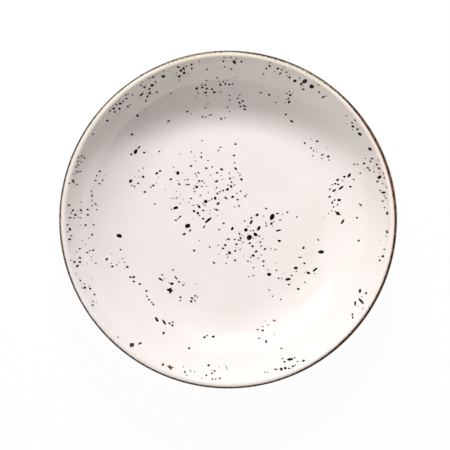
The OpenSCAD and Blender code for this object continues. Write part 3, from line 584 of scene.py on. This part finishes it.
def add_mix(material, share, first, second):
    node = add_node(material, "ShaderNodeMix", data_type="RGBA")
    for number, value in zip((MIX_SHARE_IN, *MIX_COLOURS_IN), (share, first, second)):
        if isinstance(value, (tuple, float)):
            node.inputs[number].default_value = value
        else:
            join(material, value, node.inputs[number])
    return node.outputs[MIX_COLOUR_OUT]


def add_math(material, operation, first, second):
    node = add_node(material, "ShaderNodeMath", operation=operation)
    for socket, value in zip(node.inputs, (first, second)):
        if isinstance(value, (int, float)):
            socket.default_value = value
        else:
            join(material, value, socket)
    return node.outputs[0]


def add_bump(material, shader, height, strength, distance):
    node = add_node(material, "ShaderNodeBump")
    node.inputs["Strength"].default_value = strength
    node.inputs["Distance"].default_value = distance
    join(material, height, node.inputs["Height"])
    join(material, node.outputs["Normal"], shader.inputs["Normal"])


def add_place(material):
    place = add_node(material, "ShaderNodeTexCoord")
    split = add_node(material, "ShaderNodeSeparateXYZ")
    join(material, place.outputs["Object"], split.inputs["Vector"])
    return split.outputs


# %% [markdown]
# ## The cream glaze
#
# A glossy stoneware glaze is nearly one colour, and what makes it look fired is small: soft clouds of a
# warmer cream, a yellow tint where it runs thin over the far lip and a rosy one on the right, pin-sized
# specks of iron, and a surface that is smooth but never quite flat. All of it is built from noise, cells and
# places on Object coordinates, in metres.

# %% Make the cream glaze
GLAZE_CREAM = (0.855, 0.805, 0.775, 1)
GLAZE_WARM = (0.84, 0.78, 0.735, 1)
GLAZE_FAR_LIP = (0.85, 0.78, 0.68, 1)
GLAZE_RIGHT_LIP = (0.89, 0.765, 0.715, 1)
PIN_IRON = (0.42, 0.33, 0.25, 1)
GLAZE_IOR = 1.7
GLAZE_ROUGH = 0.1
CLOUD_SCALE = 24.0
CLOUD_DETAIL = 3.0
CLOUD_RANGE = (0.35, 0.7)
LIP_TINT_RADII = 1.6
FAR_TINT_Y = (0.0, 0.1)
RIGHT_TINT_X = (0.06, 0.12)
PIN_SCALE = 260.0
PIN_RARE = 0.86
PIN_SIZE = 0.11
PIN_SHARE = 0.7
GLAZE_RIPPLE_SCALE = 180.0
GLAZE_RIPPLE = (0.03, 0.0004)


def add_glaze_colour(material):
    clouds = add_range(material, add_noise(material, CLOUD_SCALE, CLOUD_DETAIL), *CLOUD_RANGE)
    cream = add_mix(material, clouds, GLAZE_CREAM, GLAZE_WARM)
    place = add_place(material)
    lip = add_range(material, place["Z"], plate_h - LIP_TINT_RADII * lip_r, plate_h)
    far = add_range(material, place["Y"], *FAR_TINT_Y)
    right = add_range(material, place["X"], *RIGHT_TINT_X)
    yellowed = add_mix(material, add_math(material, "MULTIPLY", lip, far), cream, GLAZE_FAR_LIP)
    return add_mix(material, add_math(material, "MULTIPLY", lip, right), yellowed, GLAZE_RIGHT_LIP)


def add_pins(material, colour):
    place = add_node(material, "ShaderNodeTexCoord")
    cells = add_node(material, "ShaderNodeTexVoronoi")
    cells.inputs["Scale"].default_value = PIN_SCALE
    join(material, place.outputs["Object"], cells.inputs["Vector"])
    split = add_node(material, "ShaderNodeSeparateColor")
    join(material, cells.outputs["Color"], split.inputs["Color"])
    size = add_range(material, split.outputs["Red"], PIN_RARE, 1.0, 0.0, PIN_SIZE)
    pin = add_math(material, "LESS_THAN", cells.outputs["Distance"], size)
    share = add_math(material, "MULTIPLY", pin, PIN_SHARE)
    return add_mix(material, share, colour, PIN_IRON)


cream_glaze, shader = new_finish("cream_glaze", GLAZE_ROUGH)
shader.inputs["IOR"].default_value = GLAZE_IOR
join(cream_glaze, add_pins(cream_glaze, add_glaze_colour(cream_glaze)), shader.inputs["Base Color"])
add_bump(cream_glaze, shader, add_noise(cream_glaze, GLAZE_RIPPLE_SCALE), *GLAZE_RIPPLE)
coats = (inner_coat, outer_coat, base_coat)
for coat in coats:
    coat.data.materials.append(cream_glaze)
print("cream glaze on", len(coats), "coats")

# %% [markdown]
# ## The brown of the brushed band
#
# Iron oxide fires to almost black where it lies thick, to rust where it is thin, and bleeds a fringe into the
# cream, olive on the far side and tan elsewhere. The distance from the brush's border, shaken by fine noise,
# runs from one colour to the next. The rust share written on the vertices decides how much of a fine noise
# turns to rust.

# %% Make the brown edge
EDGE_BLACK = (0.014, 0.011, 0.009, 1)
EDGE_RUST = (0.2, 0.09, 0.05, 1)
EDGE_TAN = (0.42, 0.32, 0.235, 1)
EDGE_OLIVE = (0.44, 0.37, 0.22, 1)
EDGE_IOR = 1.28
EDGE_ROUGH = 0.22
EDGE_DETAIL = 3.0
SHAKE_SCALE = 700.0
SHAKE_RANGE = (0.25, 0.75, -0.5, 0.5)
RUST_LEAN = 0.4
RUST_SCALE = 420.0
RUSTY_RANGE = (0.72, 0.92)
TAN_RANGE = (-0.5, 0.2)
CREAM_RANGE = (0.1, 1.1)
OLIVE_Y = (0.06, 0.11)
EDGE_RIPPLE_SCALE = 500.0
EDGE_RIPPLE = (0.05, 0.0003)

brown_edge, shader = new_finish("brown_edge", EDGE_ROUGH)
shader.inputs["IOR"].default_value = EDGE_IOR
border = add_node(brown_edge, "ShaderNodeAttribute", attribute_name="border").outputs["Fac"]
rust = add_node(brown_edge, "ShaderNodeAttribute", attribute_name="rust").outputs["Fac"]
shake = add_range(brown_edge, add_noise(brown_edge, SHAKE_SCALE, EDGE_DETAIL), *SHAKE_RANGE)
shaken = add_math(brown_edge, "ADD", border, shake)
lean = add_range(brown_edge, rust, 0.0, 1.0, 0.0, RUST_LEAN)
fine = add_math(brown_edge, "ADD", add_noise(brown_edge, RUST_SCALE, EDGE_DETAIL), lean)
rusty = add_range(brown_edge, fine, *RUSTY_RANGE)
brown = add_mix(brown_edge, rusty, EDGE_BLACK, EDGE_RUST)
to_tan = add_range(brown_edge, shaken, *TAN_RANGE)
to_cream = add_range(brown_edge, shaken, *CREAM_RANGE)
far = add_range(brown_edge, add_place(brown_edge)["Y"], *OLIVE_Y)
bled = add_mix(brown_edge, far, EDGE_TAN, EDGE_OLIVE)
fringe = add_mix(brown_edge, to_tan, brown, bled)
colour = add_mix(brown_edge, to_cream, fringe, add_glaze_colour(brown_edge))
join(brown_edge, colour, shader.inputs["Base Color"])
add_bump(brown_edge, shader, add_noise(brown_edge, EDGE_RIPPLE_SCALE), *EDGE_RIPPLE)
rim_edge.data.materials.append(brown_edge)
print("brown edge on", rim_edge.name)

# %% [markdown]
# ## The iron of the flecks
#
# A thick grain is black with a brown edge where the glaze has drawn some of its iron out. A thin one stays
# rust or olive. The two finishes share one recipe: a ramp from the edge of a grain to its middle, moved by
# the grain's own tone.

# %% Make the iron finishes
GRAIN_BLACK = (0.003, 0.002, 0.0015, 1)
GRAIN_BROWN = (0.04, 0.018, 0.01, 1)
RUST_DARK = (0.012, 0.004, 0.002, 1)
RUST_TAN = (0.33, 0.14, 0.045, 1)
IRON_IOR = 1.15
IRON_ROUGH = 0.3
BLACK_TONES = (-0.45, 0.25)
RUST_TONES = (-0.45, 0.3)
MOTTLE_SCALE = 900.0
MOTTLE_RANGE = (0.3, 0.7, -0.2, 0.2)
IRON_RIPPLE_SCALE = 1200.0
IRON_RIPPLE = (0.1, 0.0001)


def iron_finish(name, edge_colour, middle_colour, tones):
    material, shader = new_finish(name, IRON_ROUGH)
    shader.inputs["IOR"].default_value = IRON_IOR
    middle = add_node(material, "ShaderNodeAttribute", attribute_name="middle").outputs["Fac"]
    tone = add_node(material, "ShaderNodeAttribute", attribute_name="tone").outputs["Fac"]
    paler = add_range(material, tone, 0.0, 1.0, *tones)
    mottle = add_range(material, add_noise(material, MOTTLE_SCALE), *MOTTLE_RANGE)
    share = add_math(material, "ADD", add_math(material, "SUBTRACT", middle, paler), mottle)
    limited = add_range(material, share, 0.0, 1.0)
    join(material, add_mix(material, limited, edge_colour, middle_colour), shader.inputs["Base Color"])
    add_bump(material, shader, add_noise(material, IRON_RIPPLE_SCALE), *IRON_RIPPLE)
    return material


black_grains.data.materials.append(iron_finish("iron_black", GRAIN_BROWN, GRAIN_BLACK, BLACK_TONES))
rust_grains.data.materials.append(iron_finish("iron_rust", RUST_TAN, RUST_DARK, RUST_TONES))
print("iron finishes on", black_grains.name, "and", rust_grains.name)

# %% [markdown]
# ## The bare clay of the foot
#
# The resting face is ground after firing, so it is matt, a shade darker than the glaze and finely grained.

# %% Make the fired clay
CLAY_PALE = (0.66, 0.57, 0.46, 1)
CLAY_DARK = (0.50, 0.41, 0.31, 1)
CLAY_ROUGH = 0.75
CLAY_SCALE = 1500.0
CLAY_DETAIL = 4.0
CLAY_RANGE = (0.3, 0.7)
CLAY_RIPPLE = (0.25, 0.0002)

fired_clay, shader = new_finish("fired_clay", CLAY_ROUGH)
grain = add_noise(fired_clay, CLAY_SCALE, CLAY_DETAIL)
grainy = add_mix(fired_clay, add_range(fired_clay, grain, *CLAY_RANGE), CLAY_PALE, CLAY_DARK)
join(fired_clay, grainy, shader.inputs["Base Color"])
add_bump(fired_clay, shader, grain, *CLAY_RIPPLE)
clay_body.data.materials.append(fired_clay)
print("fired clay on", clay_body.name)

# %% [markdown]
# ## The floor
#
# The photograph has a pure white ground. The floor is a plain white plane under the foot. What the camera and
# mirror rays see of it is mostly an even white of strength one, with enough of the lit plane left in it to
# keep the plate's shadow.

# %% Lay the floor
FLOOR_SIZE = 8.0
FLOOR_WHITE = (0.9, 0.9, 0.9, 1)
FLOOR_EVEN = 0.96

bpy.ops.object.select_all(action="DESELECT")
bpy.ops.mesh.primitive_plane_add(size=FLOOR_SIZE, location=(0, 0, 0))
floor = bpy.context.object
floor.name = "white_floor"
floor_paper = bpy.data.materials.new("floor_paper")
floor_paper.use_nodes = True
floor_nodes = floor_paper.node_tree.nodes
floor_nodes.clear()
ends = add_node(floor_paper, "ShaderNodeOutputMaterial")
paper = add_node(floor_paper, "ShaderNodeBsdfDiffuse")
paper.inputs["Color"].default_value = FLOOR_WHITE
glow = add_node(floor_paper, "ShaderNodeEmission")
rays = add_node(floor_paper, "ShaderNodeLightPath")
seen = add_math(floor_paper, "MAXIMUM", rays.outputs["Is Camera Ray"], rays.outputs["Is Glossy Ray"])
seen = add_math(floor_paper, "MAXIMUM", seen, rays.outputs["Is Transmission Ray"])
even = add_math(floor_paper, "MULTIPLY", seen, FLOOR_EVEN)
blend = add_node(floor_paper, "ShaderNodeMixShader")
join(floor_paper, even, blend.inputs["Fac"])
join(floor_paper, paper.outputs[0], blend.inputs[1])
join(floor_paper, glow.outputs[0], blend.inputs[2])
join(floor_paper, blend.outputs[0], ends.inputs["Surface"])
floor.data.materials.append(floor_paper)
print("floor in m:", FLOOR_SIZE)

# %% [markdown]
# ## The lamps
#
# The far wall of the plate lies in the shadow of its own rim with a clear edge, and the near wall is the
# brightest place, so the key is a small soft box straight beyond the far rim, about 41 degrees up. The
# photograph shows no glint of it, so mirror rays don't see it: they see a broad, faint card in its place.

# %% Hang the lamps
LAMP_AWAY = 1.5
KEY_POWER = 19.6
KEY_TINT = (0.95, 0.957, 1.0)
KEY_SIZE = 0.25
KEY_UP = math.radians(41)
KEY_TURN = math.radians(89.5)
CARD_POWER = 5.0
CARD_WIDE = 1.6
CARD_TALL = 1.0
CARD_UP = math.radians(38)
CARD_TURN = math.radians(110)


def hang_lamp(name, power, wide, tall, up, turn):
    level = LAMP_AWAY * math.cos(up)
    place = Vector((level * math.cos(turn), level * math.sin(turn), LAMP_AWAY * math.sin(up)))
    bpy.ops.object.select_all(action="DESELECT")
    bpy.ops.object.light_add(type="AREA", location=place)
    lamp = bpy.context.object
    lamp.name = name
    lamp.data.shape = "RECTANGLE"
    lamp.data.size = wide
    lamp.data.size_y = tall
    lamp.data.energy = power
    lamp.rotation_euler = (-place).to_track_quat("-Z", "Y").to_euler()
    print(name, "at", [round(x, 2) for x in place])
    return lamp


key = hang_lamp("key_box", KEY_POWER, KEY_SIZE, KEY_SIZE, KEY_UP, KEY_TURN)
key.data.color = KEY_TINT
key.visible_glossy = False
card = hang_lamp("mirror_card", CARD_POWER, CARD_WIDE, CARD_TALL, CARD_UP, CARD_TURN)
card.visible_diffuse = False

# %% [markdown]
# ## The fill
#
# All other light is fill: a world that is brighter overhead, and brighter still on the left, as from a wall
# of windows. It is a little warm and the key a little cool, which keeps the lit glaze neutral and its shadow
# creamy. The camera alone sees the world as plain white, so a low view past the floor's edge keeps the white
# ground.

# %% Set the world
FILL_LOW = 0.18
FILL_TOP = 0.44
FILL_LEFT = 0.74
FILL_TINT = (1.0, 0.985, 0.955, 1)
BACKDROP_WHITE = (1, 1, 1, 1)

world = bpy.data.worlds.new("studio")
bpy.context.scene.world = world
world.use_nodes = True
sky = world.node_tree.nodes["Background"]
sky.inputs["Color"].default_value = FILL_TINT
direction = add_node(world, "ShaderNodeTexCoord")
split = add_node(world, "ShaderNodeSeparateXYZ")
join(world, direction.outputs["Generated"], split.inputs["Vector"])
overhead = add_range(world, split.outputs["Z"], 0.0, 1.0, FILL_LOW, FILL_TOP)
leftward = add_range(world, split.outputs["X"], 0.0, -1.0, 0.0, FILL_LEFT)
join(world, add_math(world, "ADD", overhead, leftward), sky.inputs["Strength"])
backdrop = add_node(world, "ShaderNodeBackground")
backdrop.inputs["Color"].default_value = BACKDROP_WHITE
sight = add_node(world, "ShaderNodeLightPath")
parted = add_node(world, "ShaderNodeMixShader")
join(world, sight.outputs["Is Camera Ray"], parted.inputs["Fac"])
join(world, sky.outputs[0], parted.inputs[1])
join(world, backdrop.outputs[0], parted.inputs[2])
join(world, parted.outputs[0], world.node_tree.nodes["World Output"].inputs["Surface"])
bpy.context.scene.view_settings.view_transform = "Standard"
print("world strength overhead and at the left:", FILL_TOP, FILL_LOW + FILL_LEFT)
